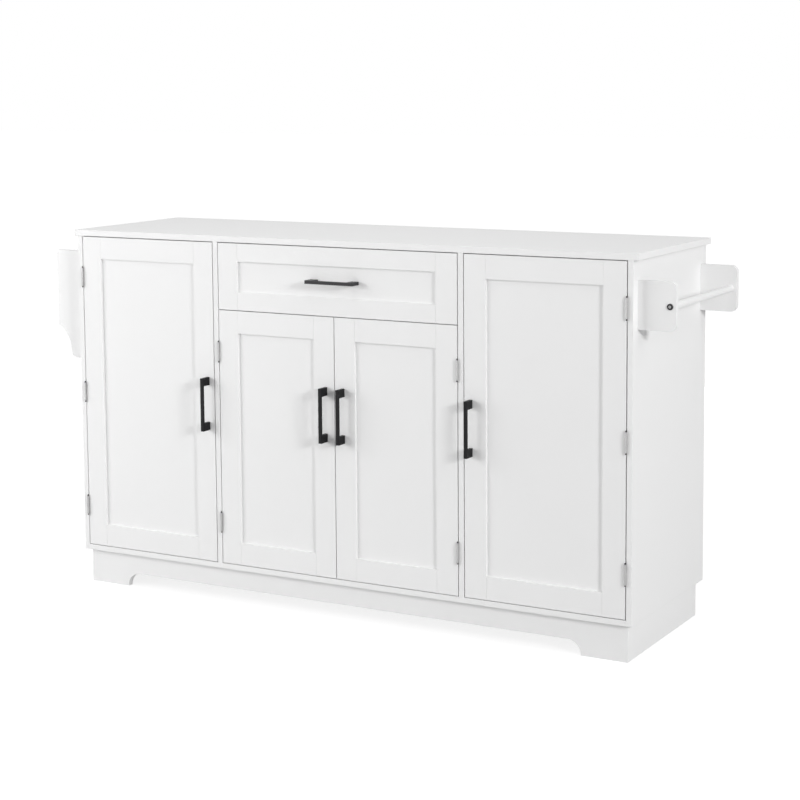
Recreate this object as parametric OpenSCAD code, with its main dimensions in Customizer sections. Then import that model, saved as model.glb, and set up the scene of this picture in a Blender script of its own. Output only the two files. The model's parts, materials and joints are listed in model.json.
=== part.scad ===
/* [Cabinet] */
// Width across the two side panels
cab_width = 1517; // [1440:1:1620]
// Depth from the door fronts to the rear edges
cab_depth = 450; // [440:1:520]
// Height of the worktop's surface above the floor
cab_height = 914; // [880:1:980]
// Thickness of the side panels, dividers, bottom and stretchers
board = 13; // [12:0.5:16]
// Clear width of each outer bay
side_bay = 402; // [360:1:420]
// Thickness of the worktop
worktop_thick = 15; // [14:1:25]
// How far the worktop reaches past each side panel
worktop_overhang = 11.5; // [6:0.5:20]
// Gap above and below every door and the drawer front
reveal = 2; // [1.9:0.1:2.6]
// Upright gap beside every door and the drawer front, which also holds the hinge leaves
side_reveal = 2.7; // [2.5:0.1:3]

/* [Back] */
// Thickness of the back panels
back_thick = 3; // [3:0.5:5]
// Distance from the rear edges to the back panels
back_inset = 12; // [8:1:20]
// Depth of the grooves that hold the back panels
back_groove = 4; // [3:0.5:5]

/* [Plinth] */
// Height of the plinth
plinth_height = 86; // [76:1:110]
// How far the plinth stands in from the carcass all round
plinth_inset = 13; // [13:1:25]
// Thickness of the plinth boards
plinth_board = 15; // [13:1:18]
// Width of each front foot at the floor
foot_width = 114; // [90:1:160]
// Height of the arch between the front feet
arch_height = 34; // [24:1:46]
// Radius of the arch's upper corners as a share of its height
arch_roundness = 0.97; // [0.4:0.01:0.99]
// Height of the braces, which hang clear of the floor
brace_height = 48; // [30:1:60]

/* [Doors] */
// Thickness of the door and drawer-front frames
door_thick = 18; // [16:1:20]
// Face width of the upright stiles
stile_width = 55; // [45:1:65]
// Face width of the door rails
rail_width = 55; // [45:1:65]
// Face width of the drawer-front rails
drawer_rail_width = 44; // [36:1:50]
// How far each panel lies behind the face of its frame
panel_recess = 6; // [4:0.5:8]
// Thickness of the framed panels
panel_thick = 6; // [5:0.5:7]
// Depth of the panel grooves in stiles and rails
panel_groove = 8; // [6:1:12]
// Paint joint between each rail's shoulder and the stile beside it
joint_gap = 0.3; // [0.1:0.05:0.5]

/* [Drawer] */
// Height of the drawer front
drawer_front_height = 163; // [150:1:190]
// Height of the drawer box
box_height = 118; // [90:1:122]
// Depth of the drawer box behind its front
box_depth = 405; // [402:1:408]
// Thickness of the drawer box boards
box_board = 12; // [11:0.5:15]
// Thickness of the drawer bottom
box_bottom_thick = 4; // [3:0.5:5]
// Height of the drawer box above the lower edge of the front
box_lift = 9; // [6:1:14]
// Width of the stretchers below the drawer
stretcher_width = 60; // [45:1:90]

/* [Drawer slides] */
// Distance from each end of the drawer box to the end of its slides
slide_inset = 2.5; // [1:0.5:6]
// Height of the cabinet member
slide_height = 45; // [42:0.5:48]
// Space between the bay wall and the drawer box
slide_space = 12.7; // [12.6:0.1:13.2]
// Sheet thickness of the slide members
slide_sheet = 1.2; // [1:0.05:1.25]
// Diameter of the bearing balls
ball_d = 3; // [2.8:0.1:3.2]
// Number of balls in each row of a cage
ball_count = 6; // [4:1:8]
// Length of each ball cage
cage_length = 180; // [140:1:200]

/* [Pulls] */
// Overall length of a pull
pull_length = 132; // [110:1:160]
// How far a pull stands out from its door
pull_reach = 30; // [24:1:36]
// Width of a pull seen from the front
pull_width = 8; // [6:0.5:12]
// Depth of the grip bar
pull_bar = 6; // [5:0.5:9]
// Length of each pull leg along the pull
pull_leg = 20; // [14:1:26]
// Distance from a tall door's free edge to the middle of its pull
tall_pull_inset = 17; // [14:0.5:28]
// Distance from a centre door's free edge to the middle of its pull
centre_pull_inset = 22.6; // [16:0.1:30]
// Height of the door pulls' middles above the floor
pull_height = 498; // [460:1:540]

/* [Hinges] */
// Length of the hinge barrel
hinge_length = 47; // [40:1:60]
// Diameter of the hinge barrel
knuckle_d = 5.5; // [5:0.1:6.5]
// Diameter of the hinge pin
hinge_pin_d = 2.5; // [2:0.1:3]
// Diameter of the finial at each end of the pin
finial_d = 3.6; // [3:0.1:4.5]
// Sheet thickness of a hinge leaf
leaf_thick = 1.1; // [0.8:0.05:1.2]
// Depth of a hinge leaf behind the door face
leaf_depth = 15; // [12:0.5:15.5]
// Distance from the ends of a door to the middle of its end hinges
hinge_inset = 102.5; // [80:0.5:130]

/* [Catches] */
// Width of a magnetic catch
catch_width = 44; // [36:1:56]
// Depth of a magnetic catch from front to back
catch_depth = 16; // [12:1:24]
// Height of a magnetic catch
catch_height = 12; // [10:1:16]
// Distance from the free edge of a door to the middle of its catch
catch_inset = 40; // [32:1:60]
// Thickness of a strike plate
strike_thick = 1; // [0.8:0.1:1.2]

/* [Shelves] */
// Height of the first side shelf above the bottom panel
side_shelf_rise = 260; // [200:1:300]
// Distance from one side shelf to the next
side_shelf_pitch = 270; // [220:1:300]
// Height of the centre shelf above the bottom panel
centre_shelf_rise = 300; // [200:1:400]
// How far the shelves stand back from the door fronts
shelf_setback = 40; // [30:1:60]
// Diameter of the shelf pins
shelf_pin_d = 5; // [4:0.5:6]
// Depth of the shelf pin holes
pin_hole_depth = 9; // [7:0.5:9.5]
// Spacing of the shelf pin holes
pin_pitch = 32; // [25:1:40]

/* [Towel rack] */
// Height of the towel rack brackets
towel_height = 109; // [90:1:130]
// Distance from the worktop's surface down to the brackets
towel_drop = 60; // [40:1:90]
// Reach of the brackets from the side panel
towel_reach = 90; // [70:1:120]
// Radius of the brackets' outer corners
towel_corner = 15; // [6:1:25]
// Diameter of the towel rod
towel_rod_d = 16; // [12:1:22]
// Distance from the side panel to the rod's axis
towel_rod_out = 75; // [55:1:78]
// Diameter of the rod bolts' heads
rod_bolt_head_d = 14; // [10:1:16]
// Diameter of the rod bolts' shanks
rod_bolt_d = 6; // [5:0.5:8]

/* [Spice rack] */
// Height of the spice rack ends
spice_height = 278; // [230:1:330]
// Distance from the worktop's surface down to the spice rack ends
spice_drop = 56; // [40:1:90]
// Reach of the upper part of the spice rack
spice_reach = 90; // [80:1:110]
// Reach of the narrow foot of the spice rack
spice_foot = 50; // [44:1:60]
// Radius of the scoop between foot and upper part
spice_scoop = 75; // [60:1:90]
// Radius of the foot's lower corner
spice_toe = 17; // [8:1:22]
// Radius of the upper corner
spice_corner = 10; // [4:1:20]
// Height of the upper spice shelf above the lower end of the rack
spice_shelf_rise = 118; // [100:1:140]
// Height of the lower spice shelf above the lower end of the rack
spice_foot_rise = 4; // [2:1:12]
// Height of the guard slats
slat_height = 24; // [16:1:30]
// Thickness of the guard slats
slat_thick = 8; // [6:0.5:10]
// Space between a spice shelf and the slat above it
slat_space = 14; // [8:1:20]

/* [Racks] */
// Distance from the front and rear edges to the rack plates
rack_setback = 25; // [15:1:50]
// Thickness of the rack plates
rack_board = 13; // [12:0.5:18]

/* [Fasteners] */
// Diameter of the long panel screws
screw_d = 5; // [4:0.5:6]
// Length of the long panel screws
screw_length = 45; // [38:1:50]
// Diameter of the cam discs
cam_d = 12; // [11:0.5:15]
// Depth of the cam discs
cam_depth = 10; // [9:0.5:10.5]
// Diameter of the cam bolts
cam_bolt_d = 5; // [4:0.5:5]
// Distance from a joint to the middle of its cam disc
cam_drop = 24; // [20:1:34]

/* [Clearances] */
// Hairline left between fitted boards
fit_gap = 0.1; // [0.05:0.01:0.15]
// Running clearance round the hinge pins and the slide balls
run_gap = 0.08; // [0.05:0.01:0.1]

/* [Hidden] */
$fn = 48;

// Overshoot of every through cut
cut = 1;
paint = "WhiteSmoke";
bare_board = "Linen";
black = "DimGray";
steel = "Silver";

// Carcass
half_width = cab_width / 2;
y_front = (pull_reach - cab_depth) / 2;
y_back = y_front + cab_depth;
z_floor = plinth_height + board;
z_top = cab_height - worktop_thick;
divider_x = half_width - board - side_bay;
centre_half = divider_x - board;
back_y = y_back - back_inset - back_thick;
y_behind_doors = y_front + door_thick;

// Fronts
drawer_z = z_top - reveal - drawer_front_height;
drawer_width = 2 * (centre_half - side_reveal);
door_z = z_floor + reveal;
tall_door = [-half_width + board + side_reveal, side_bay - 2 * side_reveal, z_top - reveal - door_z];
centre_door = [-centre_half + side_reveal, centre_half - 1.5 * side_reveal, drawer_z - reveal - door_z];
stretcher_top = drawer_z - reveal / 2;
stretcher_bottom = stretcher_top - board;
stretcher_setback = 1;

// Hinges, each at [gap middle, height above the floor]
barrel_gap = 0.25;
hinge_stand = knuckle_d / 2 + barrel_gap;
knuckle_count = 5;
knuckle_length = hinge_length / knuckle_count;
leaf_hole_d = 3.2;
leaf_hole_rise = 0.32 * hinge_length;
leaf_hole_depth = 0.6 * leaf_depth;
tall_hinge_heights = [door_z + hinge_inset, door_z + tall_door[2] / 2,
                      door_z + tall_door[2] - hinge_inset];
centre_hinge_heights = [door_z + hinge_inset, door_z + centre_door[2] - hinge_inset];
hinge_places = concat(
    [for (z = tall_hinge_heights) [tall_door[0] - side_reveal / 2, z]],
    [for (z = centre_hinge_heights) [centre_door[0] - side_reveal / 2, z]]);

// Catches and strikes, each at [middle, upper edge]
tall_catch = [-divider_x - side_reveal - catch_inset, z_top];
centre_catch = [-side_reveal / 2 - catch_inset, stretcher_bottom];
strike_side_margin = 5;
strike_edge_margin = 1;
strike_size = [catch_width - 2 * strike_side_margin, strike_thick, catch_height - 2 * strike_edge_margin];
strike_drop = 1;
catch_gap = 0.3;
catch_pole_margin = 9;
catch_pole_gap = 2;
catch_pole = [catch_width - 2 * catch_pole_margin, catch_pole_gap, catch_pole_gap];
catch_hole_d = 3.4;
catch_hole_inset = 5;

// Shelves
side_shelf_heights = [z_floor + side_shelf_rise, z_floor + side_shelf_rise + side_shelf_pitch];
centre_shelf_height = z_floor + centre_shelf_rise;
shelf_side_gap = 1;
shelf_front = y_front + shelf_setback;
shelf_back = back_y - shelf_side_gap;
tongue_length = 10;
tongue_thick = 2;
tongue_width = 7;
side_pin_inset = [30, 50];
side_pin_rows = [shelf_front + side_pin_inset[0], shelf_back - side_pin_inset[1]];
centre_pin_inset = [55, 75];
centre_pin_rows = [shelf_front + centre_pin_inset[0], shelf_back - centre_pin_inset[1]];

// Drawer box
box_half = centre_half - slide_space;
box_z = drawer_z + box_lift;
box_y = y_behind_doors;
box_bottom_rise = 8;
box_groove = 5;
slide_length = box_depth - 2 * slide_inset;
slide_y = y_behind_doors + slide_inset;
slide_z = box_z + box_height / 2;

// Slide cross-section, measured inward from the bay wall
track = ball_d + 2 * run_gap;
member_gap = 0.4;
cage_sheet = 0.5;
middle_web = slide_sheet + 2 * member_gap + cage_sheet;
inner_web = middle_web + slide_sheet + 2 * member_gap + cage_sheet;
ball_margin = 1;
lip_gap = 0.2;
ball_out = inner_web + ball_d / 2 + ball_margin;
lip_out = ball_out + ball_d / 2 + lip_gap;
cabinet_half_height = slide_height / 2;
middle_half_height = cabinet_half_height - slide_sheet - track;
drawer_half_height = middle_half_height - slide_sheet - track;
lip_drop = 0.8;

// Racks
towel_z = cab_height - towel_drop - towel_height;
spice_z = cab_height - spice_drop - spice_height;
rack_front_y = y_front + rack_setback;
rack_rear_y = y_back - rack_setback - rack_board;
rack_inner_front = rack_front_y + rack_board;
towel_rod_z = towel_z + towel_height / 2;
rod_bolt_bite = 25;
rod_bolt_head_height = 3;
rod_bolt_face_d = 0.7 * rod_bolt_head_d;
rod_bolt_socket_d = 0.4 * rod_bolt_head_d;
rod_bolt_socket_floor = 0.6;
rack_screw_inset = 30;
spice_shelf_inset = 2;
spice_foot_inset = 4;
spice_tiers = [
    [spice_z + spice_shelf_rise, spice_reach - spice_shelf_inset],
    [spice_z + spice_foot_rise, spice_foot - spice_foot_inset]
];
spice_slat_inset = 2;

// Fasteners
screw_head_d = 2 * screw_d;
screw_head_height = 3;
cam_bite = 8;
cam_inset = 60;
cam_row = [y_front + cam_inset, y_back - cam_inset];
cam_slot = 1.4;
cam_hook = 0.6;
cam_bolt_tail = cam_bolt_d / 3;

// A board from its lowest to its highest corner
module slab(low, high) {
    translate(low)
        cube(high - low);
}

// A rod that runs to the right
module rod_x(at, d, length) {
    translate(at)
        rotate([0, 90, 0])
            cylinder(d = d, h = length);
}

// A rod that runs to the back
module rod_y(at, d, length) {
    translate(at)
        rotate([-90, 0, 0])
            cylinder(d = d, h = length);
}

// A rod that runs upwards
module rod_z(at, d, length) {
    translate(at)
        cylinder(d = d, h = length);
}

module on_right() {
    mirror([1, 0, 0])
        children();
}

module on_both_sides() {
    children();
    on_right()
        children();
}

// A flat outline of [distance out, height] that stands square to the left side panel
module left_upright(y, z, thick) {
    translate([-half_width, y + thick, z])
        rotate([90, 0, 0])
            mirror([1, 0, 0])
                linear_extrude(height = thick)
                    children();
}

module rounded_rect(size, r) {
    translate([r, 0])
        square([size[0] - 2 * r, size[1]]);
    translate([0, r])
        square([size[0], size[1] - 2 * r]);
    for (x = [r, size[0] - r])
        for (y = [r, size[1] - r])
            translate([x, y])
                circle(r = r);
}

// Long panel screw that points upwards, its head flush at the origin
module panel_screw(extra = 0) {
    cylinder(d1 = screw_head_d + 2 * extra, d2 = screw_d + 2 * extra, h = screw_head_height);
    cylinder(d = screw_d + 2 * extra, h = screw_length + extra);
}

// Every panel screw of the spice rack, as seen from the left side panel's inner face
module spice_screws(extra = 0) {
    for (y = [rack_front_y, rack_rear_y])
        for (z = [spice_z + spice_height - rack_screw_inset, spice_z + rack_screw_inset + spice_toe])
            translate([-half_width + board, y + rack_board / 2, z])
                rotate([0, -90, 0])
                    panel_screw(extra);
}

// Every panel screw of the towel rack, drawn on the left and turned over to the right
module towel_screws(extra = 0) {
    for (y = [rack_front_y, rack_rear_y])
        for (z = [towel_z + rack_screw_inset, towel_z + towel_height - rack_screw_inset])
            translate([-half_width + board, y + rack_board / 2, z])
                rotate([0, -90, 0])
                    panel_screw(extra);
}

// Panel screws that hold the left divider from below
module divider_screws(extra = 0) {
    for (y = cam_row)
        translate([-divider_x + board / 2, y, plinth_height])
            panel_screw(extra);
}

// Cam disc and bolt that pull a panel end up to the board above it
module cam_fitting() {
    rotate([0, 90, 0])
        translate([cam_drop, 0, board / 2 - cam_depth])
            difference() {
                cylinder(d = cam_d, h = cam_depth);
                rotate([0, -90, 0])
                    translate([cam_depth - board / 2, 0, -cam_bolt_d])
                        cylinder(d = cam_bolt_d + cam_hook, h = cam_d);
                translate([-cam_d, -cam_slot / 2, cam_depth - cam_slot])
                    cube([2 * cam_d, cam_slot, cam_slot + cut]);
            }
    rod_z([0, 0, -cam_drop - cam_bolt_tail], cam_bolt_d, cam_drop + cam_bite + cam_bolt_tail);
}

module cam_bore() {
    rod_x([board / 2 - cam_depth, 0, -cam_drop], cam_d + 2 * fit_gap, cam_depth + cut);
    rod_z([0, 0, -cam_drop], cam_bolt_d + 2 * fit_gap, cam_drop + cam_bite + fit_gap);
}

// Places of the cams on the left half, each drawn by its child
module cam_places() {
    for (y = cam_row) {
        translate([-half_width + board / 2, y, z_top])
            children();
        translate([-divider_x + board / 2, y, z_top])
            mirror([1, 0, 0])
                children();
        translate([-half_width + board, y, plinth_height + board / 2])
            rotate([0, -90, 0])
                mirror([1, 0, 0])
                    children();
    }
}

module shelf_pin() {
    translate([-pin_hole_depth + fit_gap, 0, -shelf_pin_d / 2])
        rod_x([0, 0, 0], shelf_pin_d, pin_hole_depth);
    translate([0, -tongue_width / 2, -tongue_thick])
        cube([tongue_length, tongue_width, tongue_thick]);
    rod_x([0, 0, -shelf_pin_d / 2], shelf_pin_d, tongue_thick);
}

// Short line of pin holes that runs to the left out of the wall face on the origin
module pin_holes() {
    for (step = [-1, 0, 1])
        rod_x([-pin_hole_depth, 0, step * pin_pitch - shelf_pin_d / 2],
              shelf_pin_d + 2 * fit_gap, pin_hole_depth + cut);
}

// Pins or holes of one shelf in the wall on the left of its bay, drawn by the child
module in_left_wall(x, rows, height) {
    for (y = rows)
        translate([x, y, height])
            children();
}

// The same in the wall on the right of the bay
module in_right_wall(x, rows, height) {
    in_left_wall(x, rows, height)
        mirror([1, 0, 0])
            children();
}

// Groove for a back panel, along the inner face at x of a wall
module back_groove_at(x) {
    slab([x - back_groove, back_y - fit_gap, z_floor - back_groove],
         [x + back_groove, back_y + back_thick + fit_gap, z_top + cut]);
}

module worktop() {
    color(paint)
        difference() {
            slab([-half_width - worktop_overhang, y_front, z_top],
                 [half_width + worktop_overhang, y_back, cab_height]);
            on_both_sides()
                cam_places()
                    cam_bore();
        }
}

module side_panel() {
    difference() {
        slab([-half_width, y_front, plinth_height], [-half_width + board, y_back, z_top]);
        back_groove_at(-half_width + board);
        cam_places()
            cam_bore();
        for (z = side_shelf_heights)
            in_left_wall(-half_width + board, side_pin_rows, z)
                pin_holes();
    }
}

module left_side_panel() {
    color(paint)
        difference() {
            side_panel();
            spice_screws(fit_gap);
        }
}

module right_side_panel() {
    color(paint)
        on_right()
            difference() {
                side_panel();
                towel_screws(fit_gap);
            }
}

module divider() {
    difference() {
        slab([-divider_x, y_front, z_floor], [-centre_half, y_back, z_top]);
        back_groove_at(-divider_x);
        back_groove_at(-centre_half);
        cam_places()
            cam_bore();
        divider_screws(fit_gap);
        for (z = side_shelf_heights)
            in_right_wall(-divider_x, side_pin_rows, z)
                pin_holes();
        in_left_wall(-centre_half, centre_pin_rows, centre_shelf_height)
            pin_holes();
    }
}

module left_divider() {
    color(paint)
        divider();
}

module right_divider() {
    color(paint)
        on_right()
            divider();
}

module bottom_panel() {
    inner_half = half_width - board;
    color(paint)
        difference() {
            slab([-inner_half, y_front, plinth_height], [inner_half, y_back, z_floor]);
            slab([-inner_half - cut, back_y - fit_gap, z_floor - back_groove],
                 [inner_half + cut, back_y + back_thick + fit_gap, z_floor + cut]);
            on_both_sides() {
                cam_places()
                    cam_bore();
                divider_screws(fit_gap);
            }
        }
}

// One back panel between two walls
module back_panel(left, right) {
    slip = back_groove - fit_gap;
    slab([left - slip, back_y, z_floor - slip], [right + slip, back_y + back_thick, z_top]);
}

module back_panels() {
    color(bare_board) {
        on_both_sides()
            back_panel(-half_width + board, -divider_x);
        back_panel(-centre_half, centre_half);
    }
}

module drawer_stretchers() {
    color(paint)
        for (y = [y_behind_doors + stretcher_setback, back_y - stretcher_width])
            slab([-centre_half, y, stretcher_bottom],
                 [centre_half, y + stretcher_width, stretcher_top]);
}

module plinth_front() {
    half = half_width - plinth_inset;
    arch_half = half - foot_width;
    front = y_front + plinth_inset;
    color(paint)
        difference() {
            slab([-half, front, 0], [half, front + plinth_board, plinth_height]);
            translate([-arch_half, front + plinth_board + cut, -arch_height])
                rotate([90, 0, 0])
                    linear_extrude(height = plinth_board + 2 * cut)
                        rounded_rect([2 * arch_half, 2 * arch_height], arch_roundness * arch_height);
        }
}

module plinth_ends() {
    half = half_width - plinth_inset;
    inset = plinth_inset + plinth_board;
    color(paint)
        on_both_sides()
            slab([-half, y_front + inset, 0], [-half + plinth_board, y_back - inset, plinth_height]);
}

module plinth_back() {
    half = half_width - plinth_inset;
    rear = y_back - plinth_inset;
    color(paint)
        slab([-half, rear - plinth_board, 0], [half, rear, plinth_height]);
}

module plinth_braces() {
    middle = divider_x - board / 2;
    inset = plinth_inset + plinth_board;
    color(bare_board)
        on_both_sides()
            slab([-middle - plinth_board / 2, y_front + inset, plinth_height - brace_height],
                 [-middle + plinth_board / 2, y_back - inset, plinth_height]);
}

module side_bay_shelves() {
    color(paint)
        on_both_sides()
            for (z = side_shelf_heights)
                slab([-half_width + board + shelf_side_gap, shelf_front, z],
                     [-divider_x - shelf_side_gap, shelf_back, z + board]);
}

module centre_shelf() {
    half = centre_half - shelf_side_gap;
    color(paint)
        slab([-half, shelf_front, centre_shelf_height],
             [half, shelf_back, centre_shelf_height + board]);
}

module shelf_pins() {
    color(steel)
        on_both_sides() {
            for (z = side_shelf_heights) {
                in_left_wall(-half_width + board, side_pin_rows, z)
                    shelf_pin();
                in_right_wall(-divider_x, side_pin_rows, z)
                    shelf_pin();
            }
            in_left_wall(-centre_half, centre_pin_rows, centre_shelf_height)
                shelf_pin();
        }
}

// Magnetic catch that hangs below the given place, with a slot between its two poles
module catch(place) {
    face = y_behind_doors + strike_thick + catch_gap;
    translate([place[0] - catch_width / 2, face, place[1] - catch_height])
        difference() {
            cube([catch_width, catch_depth, catch_height]);
            translate([(catch_width - catch_pole[0]) / 2, -cut, (catch_height - catch_pole[2]) / 2])
                cube([catch_pole[0], catch_pole[1] + cut, catch_pole[2]]);
            for (x = [catch_hole_inset, catch_width - catch_hole_inset])
                rod_z([x, catch_depth / 2, -cut], catch_hole_d, catch_height + 2 * cut);
        }
}

module magnetic_catches() {
    color("White")
        on_both_sides() {
            catch(tall_catch);
            catch(centre_catch);
        }
}

module strike(place, door_top) {
    upper = min(place[1], door_top) - strike_drop;
    translate([place[0] - strike_size[0] / 2, y_behind_doors, upper - strike_size[2]])
        difference() {
            cube(strike_size);
            rod_y([strike_size[0] / 2, -cut, strike_size[2] / 2], catch_hole_d, strike_thick + 2 * cut);
        }
}

// One hinge leaf, its barrel on the origin, with the knuckles of the given numbers
module hinge_leaf(knuckles) {
    low = -hinge_length / 2;
    edge = -side_reveal / 2;
    difference() {
        union() {
            slab([edge, hinge_stand, low], [edge + leaf_thick, hinge_stand + leaf_depth, -low]);
            for (k = knuckles) {
                bottom = low + k * knuckle_length + fit_gap;
                top = low + (k + 1) * knuckle_length - fit_gap;
                rod_z([0, 0, bottom], knuckle_d, top - bottom);
                slab([edge, 0, bottom], [edge + leaf_thick, hinge_stand + cut, top]);
            }
        }
        rod_z([0, 0, low - cut], hinge_pin_d + 2 * run_gap, hinge_length + 2 * cut);
        for (z = [-leaf_hole_rise, leaf_hole_rise])
            rod_x([edge - cut, hinge_stand + leaf_hole_depth, z], leaf_hole_d, leaf_thick + 2 * cut);
    }
}

module at_hinge(place) {
    translate([place[0], y_front - hinge_stand, place[1]])
        children();
}

module frame_hinge_leaves() {
    color(steel)
        on_both_sides()
            for (place = hinge_places)
                at_hinge(place)
                    hinge_leaf([0, 2, 4]);
}

module door_hinge_leaves(places) {
    color(steel)
        for (place = places)
            at_hinge(place)
                mirror([1, 0, 0])
                    hinge_leaf([1, 3]);
}

module hinge_pin() {
    rod_z([0, 0, -hinge_length / 2 - fit_gap], hinge_pin_d, hinge_length + 2 * fit_gap);
    for (up = [0, 1])
        mirror([0, 0, up])
            translate([0, 0, hinge_length / 2 + fit_gap]) {
                cylinder(d = finial_d, h = finial_d / 2);
                translate([0, 0, finial_d / 2])
                    sphere(d = finial_d);
            }
}

module hinge_pins() {
    color(steel)
        on_both_sides()
            for (place = hinge_places)
                at_hinge(place)
                    hinge_pin();
}

// Framed front: two full-height stiles and two rails with stub tenons
module front_frame(size, rail) {
    width = size[0];
    height = size[1];
    tenon = panel_groove - fit_gap;
    for (x = [0, width - stile_width]) {
        groove_x = x == 0 ? stile_width - panel_groove : x - cut;
        difference() {
            slab([x, 0, 0], [x + stile_width, door_thick, height]);
            slab([groove_x, panel_recess - fit_gap, -cut],
                 [groove_x + panel_groove + cut, panel_recess + panel_thick + fit_gap, height + cut]);
        }
    }
    for (z = [0, height - rail]) {
        groove_z = z == 0 ? rail - panel_groove : z - cut;
        tenon_low = z == 0 ? 0 : z + panel_groove;
        difference() {
            union() {
                slab([stile_width + joint_gap, 0, z],
                     [width - stile_width - joint_gap, door_thick, z + rail]);
                slab([stile_width - tenon, panel_recess, tenon_low],
                     [width - stile_width + tenon, panel_recess + panel_thick,
                      tenon_low + rail - panel_groove]);
            }
            slab([stile_width - cut, panel_recess - fit_gap, groove_z],
                 [width - stile_width + cut, panel_recess + panel_thick + fit_gap,
                  groove_z + panel_groove + cut]);
        }
    }
}

module front_panel(size, rail) {
    slip = panel_groove - 2 * fit_gap;
    slab([stile_width - slip, panel_recess, rail - slip],
         [size[0] - stile_width + slip, panel_recess + panel_thick, size[1] - rail + slip]);
}

// Upright pull, its mounting plane on the origin and its grip towards the front
module pull() {
    edge_r = 1.2;
    translate([-pull_width / 2, 0, -pull_length / 2])
        rotate([90, 0, 90])
            linear_extrude(height = pull_width)
                difference() {
                    translate([-pull_reach, 0])
                        rounded_rect([pull_reach + 2 * edge_r, pull_length], edge_r);
                    translate([0, -cut])
                        square([3 * edge_r, pull_length + 2 * cut]);
                    translate([-pull_reach + pull_bar, pull_leg])
                        rounded_rect([pull_reach, pull_length - 2 * pull_leg], edge_r);
                }
}

module door_at(door) {
    translate([door[0], y_front, door_z])
        children();
}

module left_door_frame() {
    color(paint)
        door_at(tall_door)
            front_frame([tall_door[1], tall_door[2]], rail_width);
}

module left_door_panel() {
    color(paint)
        door_at(tall_door)
            front_panel([tall_door[1], tall_door[2]], rail_width);
}

module left_door_pull() {
    color(black)
        translate([tall_door[0] + tall_door[1] - tall_pull_inset, y_front, pull_height])
            pull();
}

module left_door_hinge_leaves() {
    door_hinge_leaves([for (z = tall_hinge_heights) [tall_door[0] - side_reveal / 2, z]]);
}

module left_door_strike() {
    color(steel)
        strike(tall_catch, door_z + tall_door[2]);
}

module centre_left_door_frame() {
    color(paint)
        door_at(centre_door)
            front_frame([centre_door[1], centre_door[2]], rail_width);
}

module centre_left_door_panel() {
    color(paint)
        door_at(centre_door)
            front_panel([centre_door[1], centre_door[2]], rail_width);
}

module centre_left_door_pull() {
    color(black)
        translate([centre_door[0] + centre_door[1] - centre_pull_inset, y_front, pull_height])
            pull();
}

module centre_left_door_hinge_leaves() {
    door_hinge_leaves([for (z = centre_hinge_heights) [centre_door[0] - side_reveal / 2, z]]);
}

module centre_left_door_strike() {
    color(steel)
        strike(centre_catch, door_z + centre_door[2]);
}

module centre_right_door_frame() {
    on_right()
        centre_left_door_frame();
}

module centre_right_door_panel() {
    on_right()
        centre_left_door_panel();
}

module centre_right_door_pull() {
    on_right()
        centre_left_door_pull();
}

module centre_right_door_hinge_leaves() {
    on_right()
        centre_left_door_hinge_leaves();
}

module centre_right_door_strike() {
    on_right()
        centre_left_door_strike();
}

module right_door_frame() {
    on_right()
        left_door_frame();
}

module right_door_panel() {
    on_right()
        left_door_panel();
}

module right_door_pull() {
    on_right()
        left_door_pull();
}

module right_door_hinge_leaves() {
    on_right()
        left_door_hinge_leaves();
}

module right_door_strike() {
    on_right()
        left_door_strike();
}

module drawer_front_frame() {
    color(paint)
        translate([-drawer_width / 2, y_front, drawer_z])
            front_frame([drawer_width, drawer_front_height], drawer_rail_width);
}

module drawer_front_panel() {
    color(paint)
        translate([-drawer_width / 2, y_front, drawer_z])
            front_panel([drawer_width, drawer_front_height], drawer_rail_width);
}

module drawer_pull() {
    color(black)
        translate([0, y_front + panel_recess, drawer_z + drawer_front_height / 2])
            rotate([0, 90, 0])
                pull();
}

// Groove for the drawer bottom, cut round the inside of the box
module box_bottom_groove() {
    inner = box_half - box_board + box_groove;
    z = box_z + box_bottom_rise;
    slab([-inner, box_y + box_board - box_groove, z - fit_gap],
         [inner, box_y + box_depth - box_board + box_groove, z + box_bottom_thick + fit_gap]);
}

module drawer_sides() {
    color(paint)
        on_both_sides()
            difference() {
                slab([-box_half, box_y, box_z],
                     [-box_half + box_board, box_y + box_depth, box_z + box_height]);
                box_bottom_groove();
            }
}

// Cross board of the drawer box with its front face at y
module box_cross_board(y) {
    half = box_half - box_board;
    color(paint)
        difference() {
            slab([-half, y, box_z], [half, y + box_board, box_z + box_height]);
            box_bottom_groove();
        }
}

module drawer_box_front() {
    box_cross_board(box_y);
}

module drawer_box_back() {
    box_cross_board(box_y + box_depth - box_board);
}

module drawer_bottom() {
    slip = box_groove - fit_gap;
    inner = box_half - box_board + slip;
    z = box_z + box_bottom_rise;
    color(bare_board)
        slab([-inner, box_y + box_board - slip, z],
             [inner, box_y + box_depth - box_board + slip, z + box_bottom_thick]);
}

// Length of folded sheet along the left slide, its outline given as [out, up]
module left_slide_run(start, length) {
    translate([-centre_half, slide_y + start, slide_z])
        rotate([90, 0, 0])
            mirror([0, 0, 1])
                linear_extrude(height = length)
                    children();
}

// Channel outline with its web at one side and a lip on each flange
module channel(web, open, half_height, sheet, lip) {
    out = min(web, open);
    width = abs(open - web);
    web_side = web < open ? out : out + width - sheet;
    lip_side = web < open ? out + width - sheet : out;
    translate([web_side, -half_height])
        square([sheet, 2 * half_height]);
    for (up = [0, 1])
        mirror([0, up]) {
            translate([out, half_height - sheet])
                square([width, sheet]);
            translate([lip_side, half_height - sheet - lip])
                square([sheet, sheet + lip]);
        }
}

module slide_cabinet_members() {
    color(steel)
        on_both_sides()
            left_slide_run(0, slide_length)
                channel(0, lip_out + slide_sheet, cabinet_half_height, slide_sheet, lip_drop);
}

module slide_middle_members() {
    color(steel)
        on_both_sides()
            left_slide_run(0, slide_length)
                channel(middle_web, lip_out + slide_sheet, middle_half_height, slide_sheet, lip_drop);
}

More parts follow.
